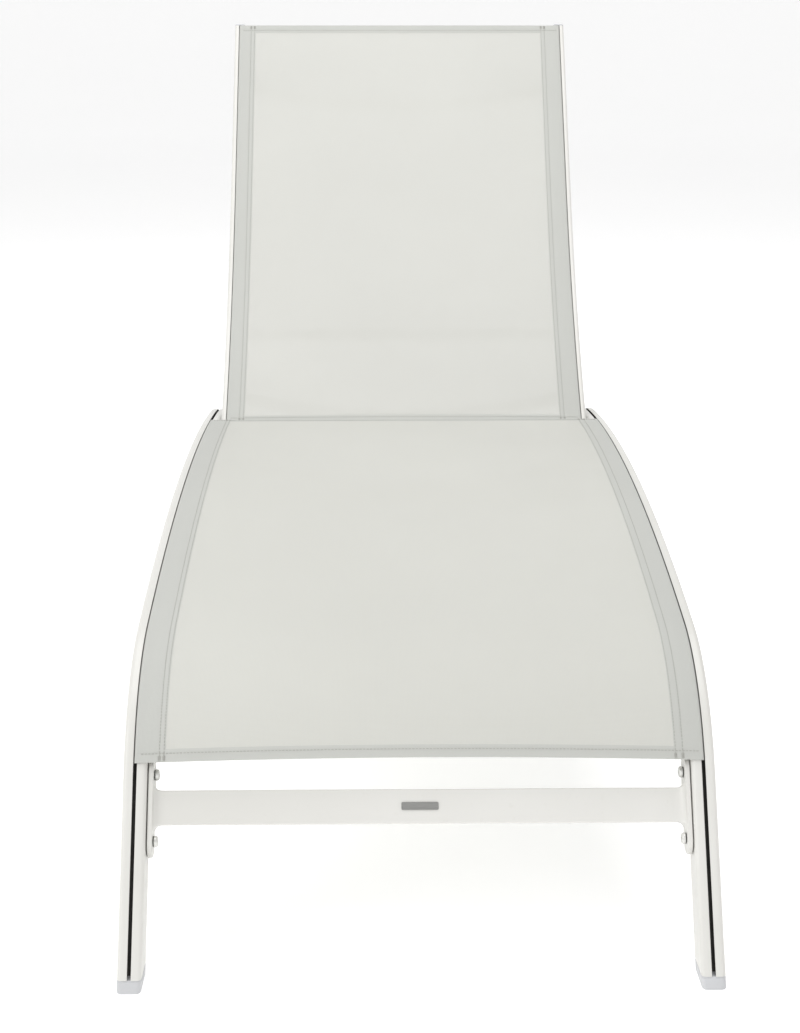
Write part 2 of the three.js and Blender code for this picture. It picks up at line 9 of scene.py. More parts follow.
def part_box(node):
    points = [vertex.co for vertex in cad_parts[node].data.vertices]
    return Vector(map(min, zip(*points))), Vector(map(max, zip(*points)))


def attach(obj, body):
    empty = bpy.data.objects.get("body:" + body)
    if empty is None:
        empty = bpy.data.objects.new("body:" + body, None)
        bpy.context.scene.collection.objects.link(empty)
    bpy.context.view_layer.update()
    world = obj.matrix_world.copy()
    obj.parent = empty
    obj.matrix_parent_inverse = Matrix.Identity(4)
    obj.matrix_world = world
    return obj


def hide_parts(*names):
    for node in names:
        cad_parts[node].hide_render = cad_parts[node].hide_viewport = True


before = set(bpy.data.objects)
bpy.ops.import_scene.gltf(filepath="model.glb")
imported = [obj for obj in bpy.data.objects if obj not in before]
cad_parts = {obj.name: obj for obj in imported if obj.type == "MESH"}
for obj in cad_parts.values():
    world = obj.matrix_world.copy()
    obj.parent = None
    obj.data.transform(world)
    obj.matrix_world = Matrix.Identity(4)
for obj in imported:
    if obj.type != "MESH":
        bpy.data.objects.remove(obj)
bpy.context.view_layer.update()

# A reclining sun lounger: arched side rails with a stretched sling seat, a curved sling backrest
# and a prop. Metres; X across, Y from the foot end to the head end, Z up.

# -------- dimensions shared with the frame

GAP = 0.0003  # between pieces that touch
EASE = 0.0002  # rounding of fine edges

SIDE_SLOTS = 0.614  # between the two sling slots
SIDE = dict(width=0.026, depth=0.040, corner=0.005, slot=0.004, lip=0.002, channel=0.0042)
LEG_SLOPE = 60.0
LEG_RISE = 0.197
SIDE_BENDS = ((0.240, -49.0), (3.335, -16.9), (0.200, -54.1))  # radius and turn, front to rear
FOOT_HEIGHT = 0.012

BACK_SLOTS = 0.564
BACK = dict(width=0.018, depth=0.034, corner=0.004, slot=0.0034, lip=0.0018, channel=0.0036)
BACK_SLOPE = 38.5
BACK_RADIUS = 1.7
BACK_CURVED = 0.5
BACK_LENGTH = 0.810
BACK_TAIL = 0.009
UPPER_CAP = 0.004
LOWER_CAP = 0.006

SEAT_FRONT = 0.2415  # along the rail's top face
SEAT_REAR = 1.115  # from the front feet, level
BACK_SLING = (0.012, 0.8085)
CLOTH = 0.0012
SEAT_KEDER_R = 0.0032
BACK_KEDER_R = 0.0027

CROSSBAR_AT = 0.1954
BAR_HEIGHT = 0.0368
BAR_THICK = 0.012
FILLET = 0.0085
PLATE = dict(length=0.106, width=0.030, thick=0.006)
BOLT_SPACING = 0.0715
BOSS = dict(r=0.0088, thick=0.0012)
NAMEPLATE = dict(width=0.040, height=0.0085, thick=0.0008)

SEAL = 0.0009  # thickness of the seals under the bolt heads
SHANK_R = 0.0038
CROSSBAR_HEAD = (0.0063, 0.0050)  # radius and height of each bolt head
HINGE_HEAD = (0.0080, 0.0045)
PROP_HEAD = (0.0075, 0.0040)
HINGE_BUSH = dict(r=0.0110, reach=0.0027, bore=0.0041)
PROP_WASHER = dict(r=0.0090, bore=0.0042)

TUBE_R = 0.010
TUBE_BOW = 0.057
BACK_TUBES = dict(lower=0.080, upper=0.693)
SEAT_TUBE_AT = 1.120

PROP_MEETS = 0.230
RACK_DROP = 0.040
PROP_BAR_R = 0.009
PROP_ARM = dict(width=0.020, thick=0.006, gap=0.0015)
RACK = dict(start=0.202, end=0.466, thick=0.005, edge=0.0304, back=-0.008)
NOTCHES = 5
NOTCH_STEP = 0.05225
NOTCH_R = 0.0096
RACK_SCREWS = (0.258, 0.412)

SIDES = (("left", -1), ("right", 1))
SIDE_INNER = SIDE_SLOTS / 2 - SIDE["width"] / 2
BACK_INNER = BACK_SLOTS / 2 - BACK["width"] / 2
BACK_OUTER = BACK_SLOTS / 2 + BACK["width"] / 2


# -------- routes in the side view

class Route:
    """A line of straights and arcs in the side view, read by the distance run along it."""

    def __init__(self, y, z, heading, parts):
        self.start = (y, z, math.radians(heading))
        self.parts = [(length, math.radians(turn)) for length, turn in parts]

    @property
    def length(self):
        return sum(length for length, _ in self.parts)

    def at(self, run):
        """Position and heading; both ends run on as they are."""
        y, z, a = self.start
        for k, (length, turn) in enumerate(self.parts):
            last = k == len(self.parts) - 1
            step = run if run < length or last else length
            bend = turn / length
            b = a + bend * step
            if turn:
                y += (math.sin(b) - math.sin(a)) / bend
                z -= (math.cos(b) - math.cos(a)) / bend
            else:
                y += step * math.cos(a)
                z += step * math.sin(a)
            a = b
            run -= step
            if run <= 0:
                break
        return y, z, a

    def point(self, run, x=0.0, depth=0.0):
        """A point across the route by x and below it by depth."""
        y, z, a = self.at(run)
        return Vector((x, y + depth * math.sin(a), z - depth * math.cos(a)))

    def matrix(self, run, x=0.0, depth=0.0):
        """Local frame: X across, Y down into the rail, Z along the route."""
        a = self.at(run)[2]
        place = Matrix.Translation(self.point(run, x, depth))
        return place @ Matrix.Rotation(a - math.pi / 2, 4, "X")

    def stations(self, start, end, turn_step=3.0, longest=0.05):
        """Distances to step at: evenly within each part, closer where it bends."""
        stops = [start]
        done = 0.0
        for length, turn in self.parts:
            count = max(1, round(abs(math.degrees(turn)) / turn_step))
            if turn:
                count = max(count, math.ceil(length / longest))
            for k in range(count):
                stop = done + length * k / count
                if start + 0.002 < stop < end - 0.002:
                    stops.append(stop)
            done += length
        return stops + [end]

    def run_to_y(self, y):
        low, high = 0.0, self.length
        for _ in range(40):
            middle = (low + high) / 2
            if self.at(middle)[0] < y:
                low = middle
            else:
                high = middle
        return low


def arc_part(radius, turn):
    return (radius * math.radians(abs(turn)), turn)


front_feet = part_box("foot_cap_front_left")[0].y
lean = math.sin(math.radians(LEG_SLOPE))
side_parts = [(LEG_RISE / lean, 0.0)] + [arc_part(*bend) for bend in SIDE_BENDS]
leg_top = Route(front_feet, 0.0, LEG_SLOPE, side_parts)
rear_leg = leg_top.at(leg_top.length)[1] / lean
side_route = Route(front_feet, 0.0, LEG_SLOPE, side_parts + [(rear_leg, 0.0)])

low_corner, high_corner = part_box("hinge_bolt_left")
hinge = (low_corner + high_corner) / 2
back_route = Route(hinge.y, hinge.z, BACK_SLOPE, [
    (BACK_CURVED, math.degrees(BACK_CURVED / BACK_RADIUS)),
    (BACK_LENGTH - BACK_CURVED, 0.0),
])
low_corner, high_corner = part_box("prop_bolt_left")
prop_pivot = (low_corner + high_corner) / 2
SEAT_END = side_route.run_to_y(front_feet + SEAT_REAR)


# -------- shader helpers

def linear(red, green, blue):
    """Linear colour from display values of 0 to 255."""
    return tuple(
        c / 255 / 12.92 if c <= 10 else ((c / 255 + 0.055) / 1.055) ** 2.4
        for c in (red, green, blue)
    ) + (1.0,)


class Shader:
    """A new material and short ways to add and link its nodes."""

    def __init__(self, name, constants=None):
        self.material = bpy.data.materials.new(name)
        self.material.use_nodes = True
        self.tree = self.material.node_tree
        self.principled = self.tree.nodes["Principled BSDF"]
        self.output = self.tree.nodes["Material Output"]
        for key, value in (constants or {}).items():
            self.principled.inputs[key].default_value = value

    def node(self, kind, inputs=None, **settings):
        made = self.tree.nodes.new(kind)
        for key, value in settings.items():
            setattr(made, key, value)
        for key, value in (inputs or {}).items():
            self.feed(made.inputs[key], value)
        return made

    def feed(self, socket, value):
        if isinstance(value, bpy.types.NodeSocket):
            self.tree.links.new(value, socket)
        else:
            socket.default_value = value

    def math(self, operation, a, b=0.0, c=0.0):
        made = self.node("ShaderNodeMath", operation=operation)
        for socket, value in zip(made.inputs, (a, b, c)):
            self.feed(socket, value)
        return made.outputs[0]

    def place(self):
        return self.node("ShaderNodeTexCoord").outputs["Object"]

    def noise(self, scale, detail=2.0, roughness=0.5, vector=None):
        inputs = {"Scale": scale, "Detail": detail, "Roughness": roughness}
        inputs["Vector"] = self.place() if vector is None else vector
        return self.node("ShaderNodeTexNoise", inputs).outputs["Fac"]

    def span(self, value, from_low, from_high, to_low, to_high):
        inputs = {
            "Value": value, "From Min": from_low, "From Max": from_high,
            "To Min": to_low, "To Max": to_high,
        }
        return self.node("ShaderNodeMapRange", inputs).outputs["Result"]

    def mix(self, factor, a, b):
        made = self.node("ShaderNodeMix", data_type="RGBA")
        for index, value in ((0, factor), (6, a), (7, b)):
            self.feed(made.inputs[index], value)
        return made.outputs[2]

    def bump(self, height, strength, distance, normal=None):
        inputs = {"Height": height, "Strength": strength, "Distance": distance}
        if normal is not None:
            inputs["Normal"] = normal
        return self.node("ShaderNodeBump", inputs).outputs["Normal"]

    def set(self, **links):
        for key, value in links.items():
            self.feed(self.principled.inputs[key.replace("_", " ").title()], value)
        return self.material


# -------- materials

def powder_coat():
    """White powder coat: fine orange peel, faint tone drift and a few dull scuffs."""
    s = Shader("powder_coat")
    drift = s.noise(5.0, 3.0)
    tone = s.mix(s.span(drift, 0.3, 0.7, 0.0, 1.0), linear(210, 209, 204), linear(216, 215, 211))
    scuff = s.span(s.noise(38.0, 6.0, 0.7), 0.66, 0.74, 0.0, 0.35)
    grime = s.span(s.noise(140.0, 4.0, 0.6), 0.60, 0.80, 0.0, 0.25)
    tone = s.mix(grime, tone, linear(200, 198, 191))
    rough = s.math("ADD", s.span(s.noise(60.0, 3.0), 0.3, 0.7, 0.30, 0.40), scuff)
    peel = s.bump(s.noise(850.0, 2.0), 0.22, 0.0002)
    return s.set(base_color=tone, roughness=rough, normal=peel)


def painted_channel_shade(name, low, high):
    """Painted shade: a dull dark tone for the inside of the sling channels, in place of the shade
    that falls there.
    """
    s = Shader(name)
    tone = s.mix(s.noise(90.0, 4.0), linear(*low), linear(*high))
    grain = s.bump(s.noise(700.0, 3.0), 0.3, 0.0002)
    return s.set(base_color=tone, roughness=s.span(s.noise(40.0), 0.3, 0.7, 0.6, 0.8), normal=grain)


def moulded_plastic(name, low, high, rough, grain_scale):
    """Moulded plastic with a fine spark-eroded texture and slight gloss changes."""
    s = Shader(name)
    tone = s.mix(s.span(s.noise(22.0, 3.0), 0.3, 0.7, 0.0, 1.0), linear(*low), linear(*high))
    shine = s.span(s.noise(70.0, 3.0), 0.3, 0.7, rough - 0.06, rough + 0.08)
    grain = s.bump(s.noise(grain_scale, 4.0, 0.6), 0.35, 0.00025)
    return s.set(base_color=tone, roughness=shine, normal=grain)


def plated_steel():
    """Zinc-plated steel, brushed round and a little tarnished."""
    s = Shader("plated_steel", {"Metallic": 0.55})
    tone = s.mix(s.noise(260.0, 5.0), linear(206, 206, 202), linear(228, 228, 225))
    shine = s.span(s.noise(420.0, 4.0), 0.3, 0.7, 0.26, 0.42)
    return s.set(base_color=tone, roughness=shine, normal=s.bump(s.noise(1200.0), 0.15, 0.0001))


def brushed_plate():
    """Brushed aluminium with its grain along the plate."""
    s = Shader("brushed_plate", {"Metallic": 0.75})
    stretch = s.node("ShaderNodeMapping", {"Vector": s.place(), "Scale": (60.0, 2600.0, 2600.0)})
    grain = s.noise(1.0, 4.0, 0.6, stretch.outputs["Vector"])
    tone = s.mix(grain, linear(126, 126, 124), linear(172, 172, 169))
    return s.set(
        base_color=tone,
        roughness=s.span(grain, 0.3, 0.7, 0.28, 0.46),
        normal=s.bump(grain, 0.25, 0.0001),
    )


YARN_PITCH = 0.00135


def weave_height(s):
    """Height of a plain weave of round coated yarns, and the cloth's own coordinates."""
    cloth = s.node("ShaderNodeUVMap", uv_map="cloth").outputs["UV"]
    wander = s.noise(12.0, 2.0, vector=cloth)
    parts = s.node("ShaderNodeSeparateXYZ", {"Vector": cloth})
    yarns = 1 / YARN_PITCH
    along = s.math("MULTIPLY_ADD", parts.outputs["Y"], yarns, s.math("MULTIPLY", wander, 0.6))
    across = s.math("MULTIPLY_ADD", parts.outputs["X"], yarns, s.math("MULTIPLY", wander, 0.6))
    wave_x = s.math("SINE", s.math("MULTIPLY", across, math.pi))
    wave_y = s.math("SINE", s.math("MULTIPLY", along, math.pi))
    warp_over = s.math("GREATER_THAN", s.math("MULTIPLY", wave_x, wave_y), 0.0)
    round_x = s.math("ABSOLUTE", wave_x)
    round_y = s.math("ABSOLUTE", wave_y)
    warp = s.math("MULTIPLY", s.math("POWER", round_x, 0.6), s.math("POWER", round_y, 0.3))
    weft = s.math("MULTIPLY", s.math("POWER", round_y, 0.6), s.math("POWER", round_x, 0.3))
    chosen = s.node("ShaderNodeMix", {0: warp_over, 2: weft, 3: warp}, data_type="FLOAT")
    return chosen.outputs[0], cloth


def sling_cloth(name, low, high, through, open_share):
    """Coated mesh cloth that lets a little light and a trace of what is behind it through."""
    s = Shader(name, {"Roughness": 0.62, "Sheen Weight": 0.12, "Sheen Roughness": 0.5})
    height, cloth = weave_height(s)
    drift = s.noise(2.2, 3.0, vector=cloth)
    tone = s.mix(s.span(drift, 0.3, 0.7, 0.0, 1.0), linear(*low), linear(*high))
    # Painted shade: the hollows between the yarns are darkened a little towards grey.
    painted_weave_shade = s.span(height, 0.15, 0.75, 0.90, 1.0)
    tone = s.mix(painted_weave_shade, linear(150, 150, 144), tone)
    bumpy = s.bump(height, 0.55, 0.00035)
    s.set(base_color=tone, normal=bumpy)
    glow = s.node("ShaderNodeBsdfTranslucent", {"Color": tone, "Normal": bumpy})
    lit = s.node("ShaderNodeMixShader", {0: through})
    s.tree.links.new(s.principled.outputs["BSDF"], lit.inputs[1])
    s.tree.links.new(glow.outputs["BSDF"], lit.inputs[2])
    clear = s.node("ShaderNodeBsdfTransparent")
    mesh = s.node("ShaderNodeMixShader", {0: open_share})
    s.tree.links.new(lit.outputs["Shader"], mesh.inputs[1])
    s.tree.links.new(clear.outputs["BSDF"], mesh.inputs[2])
    s.tree.links.new(mesh.outputs["Shader"], s.output.inputs["Surface"])
    return s.material


def sewing_thread():
    """Twisted polyester thread, a little darker than the cloth."""
    s = Shader("sewing_thread", {"Roughness": 0.7, "Sheen Weight": 0.2})
    tone = s.mix(s.noise(900.0, 2.0), linear(150, 150, 144), linear(186, 186, 180))
    return s.set(base_color=tone, normal=s.bump(s.noise(2600.0, 2.0), 0.5, 0.0002))


def studio_floor():
    """Pale matt studio floor."""
    s = Shader("studio_floor", {
        "Roughness": 0.9, "Specular IOR Level": 0.1,
        "Emission Color": (1.0, 1.0, 1.0, 1.0), "Emission Strength": 0.38,
    })
    tone = s.mix(s.noise(0.7, 2.0), linear(241, 241, 241), linear(244, 244, 244))
    return s.set(base_color=tone)


WHITE = powder_coat()
# Painted shade: both channel tones stand in for the shade inside the slots; the backrest's copy is
# paler.
CHANNEL_SHADE = painted_channel_shade("painted_channel_shade", (48, 47, 45), (74, 72, 69))
BACK_CHANNEL_SHADE = painted_channel_shade("painted_channel_shade_pale", (138, 138, 134), (160, 160, 156))
GREY_PLASTIC = moulded_plastic("grey_plastic", (186, 187, 189), (196, 197, 199), 0.5, 620.0)
NYLON = moulded_plastic("white_nylon", (226, 226, 220), (236, 236, 231), 0.42, 480.0)
# Painted shade: the keder rods are drawn mid grey for the shade in the channels around them.
KEDER_SHADE_TONE = moulded_plastic("keder_painted_shade", (150, 150, 146), (172, 172, 168), 0.5, 800.0)
STEEL = plated_steel()
BADGE = brushed_plate()
# One cloth in two tones: the seat's copy is a little darker and the backrest's a little lighter,
# painted shade and painted light that set each sheet's tone; the backrest's copy is also more open.
SEAT_CLOTH_SHADED = sling_cloth("sling_cloth", (215, 215, 209), (219, 219, 213), 0.18, 0.10)
BACK_CLOTH_LIT = sling_cloth("sling_cloth_open", (217, 217, 212), (221, 221, 216), 0.20, 0.17)
HEM_CLOTH = sling_cloth("sling_hem_cloth", (196, 197, 192), (202, 203, 198), 0.10, 0.05)
THREAD = sewing_thread()
# Painted shade: the seals are drawn near black for the dark gap under each bolt head.
SEAL_SHADE_TONE = moulded_plastic("seal_painted_shade", (52, 52, 50), (70, 70, 68), 0.7, 900.0)


# -------- mesh helpers

def make_object(name, points, faces, materials, sharp=35.0, face_materials=None):
    """A mesh object with outward normals, smooth except at its sharp edges."""
    mesh = bpy.data.meshes.new(name)
    mesh.from_pydata([tuple(p) for p in points], [], faces)
    for material in materials:
        mesh.materials.append(material)
    if face_materials is not None:
        mesh.polygons.foreach_set("material_index", face_materials)
    shell = bmesh.new()
    shell.from_mesh(mesh)
    bmesh.ops.recalc_face_normals(shell, faces=shell.faces)
    shell.to_mesh(mesh)
    shell.free()
    mesh.shade_smooth()
    mesh.set_sharp_from_angle(angle=math.radians(sharp))
    made = bpy.data.objects.new(name, mesh)
    bpy.context.scene.collection.objects.link(made)
    return made


def install(piece, body, slot, *nodes):
    """Puts a piece on its body, in place of CAD nodes; slot is not used."""
    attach(piece, body)
    if nodes:
        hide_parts(*nodes)
    return piece


def ring_faces(rings, size, start=0):
    """Quads between rings of size points that follow one another."""
    faces = []
    for r in range(rings - 1):
        a = start + r * size
        for k in range(size):
            nxt = (k + 1) % size
            faces.append((a + k, a + nxt, a + size + nxt, a + size + k))
    return faces


def loft(name, rings, materials, sharp=35.0, section_materials=None):
    """A closed body through rings of points, with flat ends."""
    size = len(rings[0])
    points = [p for ring in rings for p in ring]
    faces = ring_faces(len(rings), size)
    indices = None
    if section_materials is not None:
        indices = section_materials * (len(rings) - 1) + [0, 0]
    last = (len(rings) - 1) * size
    faces.append(tuple(reversed(range(size))))
    faces.append(tuple(range(last, last + size)))
    return make_object(name, points, faces, materials, sharp, indices)


def arc(cx, cy, r, start, end, steps):
    angles = np.radians(np.linspace(start, end, steps + 1))
    return [(cx + r * math.cos(t), cy + r * math.sin(t)) for t in angles]


def rounded(half_x, half_y, r, steps=6, cx=0.0, cy=0.0):
    """Outline of a rounded rectangle, always with the same number of points."""
    x, y = half_x - r, half_y - r
    return (
        arc(cx + x, cy + y, r, 0, 90, steps)
        + arc(cx - x, cy + y, r, 90, 180, steps)
        + arc(cx - x, cy - y, r, 180, 270, steps)
        + arc(cx + x, cy - y, r, 270, 360, steps)
    )


SLOT_EDGE = 0.0005  # rounding of a sling slot's mouth


def channel_depth(rail):
    """Depth of the middle of a rail's sling channel below its top face."""
    return rail["lip"] + math.sqrt(rail["channel"] ** 2 - (rail["slot"] / 2) ** 2)


def rail_section(rail):
    """Outline as (x, depth) pairs, and a material index for the face after each point."""
    half, e = rail["slot"] / 2, SLOT_EDGE
    corner = rail["corner"]
    x, top, low = rail["width"] / 2 - corner, -corner, corner - rail["depth"]
    mouth = math.degrees(math.acos(half / rail["channel"]))
    middle = -channel_depth(rail)
    outside = (
        arc(half + e, -e, e, 180, 90, 3)
        + arc(x, top, corner, 90, 0, 6)
        + arc(x, low, corner, 0, -90, 6)
        + arc(-x, low, corner, -90, -180, 6)
        + arc(-x, top, corner, 180, 90, 6)
        + arc(-half - e, -e, e, 90, 0, 3)
    )
    inside = arc(0, middle, rail["channel"], 180 - mouth, 360 + mouth, 14)
    outline = outside + inside
    marks = [0] * (len(outside) - 1) + [1] * (len(inside) + 1)
    return [(px, -py) for px, py in outline], marks


def lathe(name, profile, matrix, material, sides=32):
    """A body turned about local X from (x, radius) pairs; a third value of "hex" squares a ring
    off to a hexagon."""
    rings = []
    for x, r, *form in profile:
        ring = []
        for k in range(sides):
            t = 2 * math.pi * k / sides
            reach = r
            if form:
                reach = r / math.cos((t % (math.pi / 3)) - math.pi / 6)
            ring.append(matrix @ Vector((x, reach * math.cos(t), reach * math.sin(t))))
        rings.append(ring)
    return loft(name, rings, [material], 30.0)


def facing(sign):
    """Turns a body made for the right side round to the left side."""
    return Matrix.Rotation(math.pi, 4, "Z") if sign < 0 else Matrix.Identity(4)


def plate_object(name, outline, x, thick, material, edge):
    """A flat plate in the side view with eased edges; outline is (y, z) pairs."""
    curve = bpy.data.curves.new(name, "CURVE")
    curve.dimensions = "2D"
    curve.fill_mode = "BOTH"
    curve.extrude = thick / 2 - edge
    curve.bevel_depth = edge
    curve.bevel_resolution = 2
    curve.offset = -edge
    spline = curve.splines.new("POLY")
    spline.points.add(len(outline) - 1)
    for point, (y, z) in zip(spline.points, outline):
        point.co = (y, z, 0.0, 1.0)
    spline.use_cyclic_u = True
    drawn = bpy.data.objects.new(name + ".outline", curve)
    bpy.context.scene.collection.objects.link(drawn)
    mesh = bpy.data.meshes.new_from_object(drawn)
    bpy.data.objects.remove(drawn)
    turn = Matrix(((0, 0, 1, x), (1, 0, 0, 0), (0, 1, 0, 0), (0, 0, 0, 1)))
    mesh.transform(turn)
    shell = bmesh.new()
    shell.from_mesh(mesh)
    bmesh.ops.remove_doubles(shell, verts=shell.verts, dist=1e-6)
    bmesh.ops.recalc_face_normals(shell, faces=shell.faces)
    shell.to_mesh(mesh)
    shell.free()
    mesh.name = name
    mesh.materials.append(material)
    mesh.shade_smooth()
    mesh.set_sharp_from_angle(angle=math.radians(30.0))
    made = bpy.data.objects.new(name, mesh)
    bpy.context.scene.collection.objects.link(made)
    return made


# -------- side rails and feet

def foot_cut(route, run, x, depth, height):
    """Where the line of a straight leg, below the route by depth, is at that height."""
    y, z, a = route.at(run)
    z0 = z - depth * math.cos(a)
    step = (height - z0) / math.sin(a)
    return Vector((x, y + depth * math.sin(a) + step * math.cos(a), height))


def side_rails():
    outline, marks = rail_section(SIDE)
    length = side_route.length
    foot_reach = 0.06  # the cut ends of the legs stay within it
    stops = side_route.stations(foot_reach, length - foot_reach)
    for name, sign in SIDES:
        x0 = sign * SIDE_SLOTS / 2
        level = FOOT_HEIGHT + GAP
        rings = [[foot_cut(side_route, 0.0, x0 + x, d, level) for x, d in outline]]
        rings += [[side_route.point(stop, x0 + x, d) for x, d in outline] for stop in stops]
        rings.append([foot_cut(side_route, length, x0 + x, d, level) for x, d in outline])
        rail = loft(f"side_rail_{name}.fine", rings, [WHITE, CHANNEL_SHADE], 32.0, marks)
        install(rail, "frame", "white_aluminium", f"side_rail_{name}")


def foot_caps():
    """Flush caps with an eased sole and a fine groove under the rail, as (height, inset) rings."""
    groove = 0.0006
    levels = (
        (0.0, 0.0016), (0.0007, 0.0005), (0.0018, 0.0),
        (FOOT_HEIGHT - 0.0018, 0.0), (FOOT_HEIGHT - 0.0014, groove), (FOOT_HEIGHT, groove),
    )
    half_x, half_d = SIDE["width"] / 2, SIDE["depth"] / 2
    for end, run in (("front", 0.0), ("rear", side_route.length)):
        for name, sign in SIDES:
            rings = []
            for level, inset in levels:
                corner = SIDE["corner"] - inset
                outline = rounded(half_x - inset, half_d - inset, corner, 6, 0.0, half_d)
                x0 = sign * SIDE_SLOTS / 2
                rings.append([foot_cut(side_route, run, x0 + x, d, level) for x, d in outline])
            cap = loft(f"foot_cap_{end}_{name}.fine", rings, [GREY_PLASTIC], 30.0)
            install(cap, "frame", "grey_plastic", f"foot_cap_{end}_{name}")


# -------- crossbars

BAR_EDGE = 0.0014
PLATE_EDGE = 0.0011
BOSS_REACH = 0.0010  # the plate stands off the rail by this much, on its bosses
BAR_FLARE = 0.014  # length over which the bar thickens into its plate
FLARE_STEPS = 10


def quarter(share):
    """Rise of a round fillet: 1 where share is 0, falling to 0 where it is 1 or more."""
    return 1 - math.sqrt(1 - max(0.0, 1 - share) ** 2)


def crossbar_rings():
    """Rings of the bar from its left end to its right end: (x, half height, half thickness, r)."""
    outer = SIDE_INNER - GAP - BOSS_REACH
    inner = SIDE_INNER - GAP - PLATE["thick"]
    half_h, half_t = BAR_HEIGHT / 2, BAR_THICK / 2
    long, wide = PLATE["length"] / 2, PLATE["width"] / 2
    thicken = wide - half_t - BAR_EDGE
    sizes = [(0.0, half_h, half_t, BAR_EDGE)]
    for k in range(FLARE_STEPS + 1):
        left = BAR_FLARE * (1 - k / FLARE_STEPS) ** 1.6
        lift_h = FILLET * quarter(left / FILLET)
        lift_t = thicken * quarter(left / BAR_FLARE)
        corner = BAR_EDGE + 0.35 * lift_t
        sizes.append((inner - left, half_h + lift_h, half_t + lift_t, corner))
    for x, inset in (
        (inner, PLATE_EDGE), (inner + PLATE_EDGE * 0.3, PLATE_EDGE * 0.3),
        (inner + PLATE_EDGE, 0.0), (outer - PLATE_EDGE * 0.6, 0.0), (outer, PLATE_EDGE * 0.6),
    ):
        sizes.append((x, long - inset, wide - inset, wide - inset))
    mirrored = [(-x, *rest) for x, *rest in reversed(sizes[1:])]
    return mirrored + sizes


def crossbars():
    middle = SIDE["depth"] / 2
    for name, at in (("front", CROSSBAR_AT), ("rear", side_route.length - CROSSBAR_AT)):
        local = side_route.matrix(at)
        rings = []
        for x, half_h, half_t, r in crossbar_rings():
            outline = rounded(half_h, half_t, min(r, half_t - 1e-5), 8)
            rings.append([local @ Vector((x, middle + d, h)) for h, d in outline])
        bar = loft(f"{name}_crossbar.fine", rings, [WHITE], 38.0)
        install(bar, "frame", "white_aluminium", f"{name}_crossbar")
        for side, sign in SIDES:
            for level, end in (("lower", -1), ("upper", 1)):
                along = (end if name == "front" else -end) * BOLT_SPACING / 2
                place = local @ Matrix.Translation((0.0, middle, along)) @ facing(sign)
                crossbar_bolt(f"{name}_{side}_{level}", place)
    nameplate()


def crossbar_bolt(name, place):
    """A bolt head on its seal, and the boss behind the plate that it is drawn against."""
    rail = SIDE_INNER - GAP
    boss = lathe(f"crossbar_boss_{name}", [
        (rail - BOSS["thick"], BOSS["r"]), (rail - EASE, BOSS["r"]), (rail, BOSS["r"] - 0.0003),
    ], place, WHITE)
    install(boss, "frame", "white_aluminium")
    seat = rail - GAP - PLATE["thick"]
    sealed_bolt(f"crossbar_bolt_{name}", seat, CROSSBAR_HEAD, place)


def sealed_bolt(node, seat, head, place):
    """A bolt head against a face at seat, on a sealing washer drawn dark as painted shade under the
    head.
    """
    install(button_bolt(f"{node}.fine", seat, *head, place), "frame", "steel", node)
    install(bolt_seal(f"{node}_seal", seat, head[0], place), "frame", "grey_plastic")


def button_bolt(name, seat, head_r, head_h, place):
    """A low domed bolt head with a hexagon socket, its face towards -X, above its seal."""
    face, under = seat - head_h, seat - SEAL
    socket = face + head_h * 0.5
    tip = SIDE_INNER - EASE
    dome = ((0.0, 0.5), (0.03, 0.68), (0.10, 0.82), (0.22, 0.93), (0.38, 0.985), (0.55, 1.0))
    profile = [(socket, 0.0), (socket, head_r * 0.36, "hex"), (face, head_r * 0.38, "hex")]
    profile += [(face + head_h * drop, head_r * out) for drop, out in dome]
    profile += [
        (under - EASE, head_r), (under, head_r - EASE), (under, SHANK_R),
        (tip, SHANK_R), (tip, 0.0),
    ]
    return lathe(name, profile, place, STEEL, 36)


def bolt_seal(name, seat, head_r, place):
    """The sealing washer under a bolt head, drawn dark: painted shade for the gap under the head.
    """
    inner, outer = SHANK_R + 0.0001, head_r - 0.0004
    return lathe(name, [
        (seat - SEAL, inner), (seat - SEAL, outer - EASE), (seat - SEAL * 0.7, outer),
        (seat - SEAL * 0.3, outer), (seat, outer - EASE), (seat, inner),
    ], place, SEAL_SHADE_TONE, 36)


def nameplate():
    """A small blank plate with eased edges and a raised rim, as (inset, height) rings."""
    middle = SIDE["depth"] / 2
    face = middle - BAR_THICK / 2 - GAP
    local = side_route.matrix(CROSSBAR_AT, 0.0, face) @ Matrix.Rotation(math.pi / 2, 4, "X")
    half_w, half_h, thick = NAMEPLATE["width"] / 2, NAMEPLATE["height"] / 2, NAMEPLATE["thick"]
    corner = 0.0014
    steps = (
        (0.0, 0.0), (0.0, thick * 0.7), (0.00025, thick), (0.0009, thick), (0.0011, thick * 0.72),
    )
    rings = []
    for inset, level in steps:
        outline = rounded(half_w - inset, half_h - inset, corner - inset * 0.5, 5)
        rings.append([local @ Vector((x, y, level)) for x, y in outline])
    plate = loft("nameplate.fine", rings, [BADGE], 30.0)
    install(plate, "frame", "nameplate", "nameplate")


# -------- cross tubes

def bow_radius(half_span):
    return (half_span ** 2 + TUBE_BOW ** 2) / (2 * TUBE_BOW)


def bowed_tube(name, half_span, place, sides=28, steps=40):
    """A round tube bowed away from the cloth, its ends cut flush with the rails."""
    radius = bow_radius(half_span)
    rings = []
    for k in range(steps + 1):
        x = half_span * (2 * k / steps - 1)
        slope = math.asin(-x / radius)
        centre = Vector((x, TUBE_BOW - radius + math.sqrt(radius ** 2 - x ** 2), 0))
        ring = []
        for j in range(sides):
            t = 2 * math.pi * j / sides
            side = Vector((-math.sin(slope), math.cos(slope), 0)) * (TUBE_R * math.cos(t))
            point = centre + side + Vector((0, 0, TUBE_R * math.sin(t)))
            if k in (0, steps):
                shift = x - point.x
                point += Vector((math.cos(slope), math.sin(slope), 0)) * shift / math.cos(slope)
            ring.append(place @ point)
        rings.append(ring)
    return loft(name, rings, [WHITE], 40.0)


BEAD_R = 0.0011
BEAD_RIPPLE = 0.12
BEAD_RIPPLES = 26


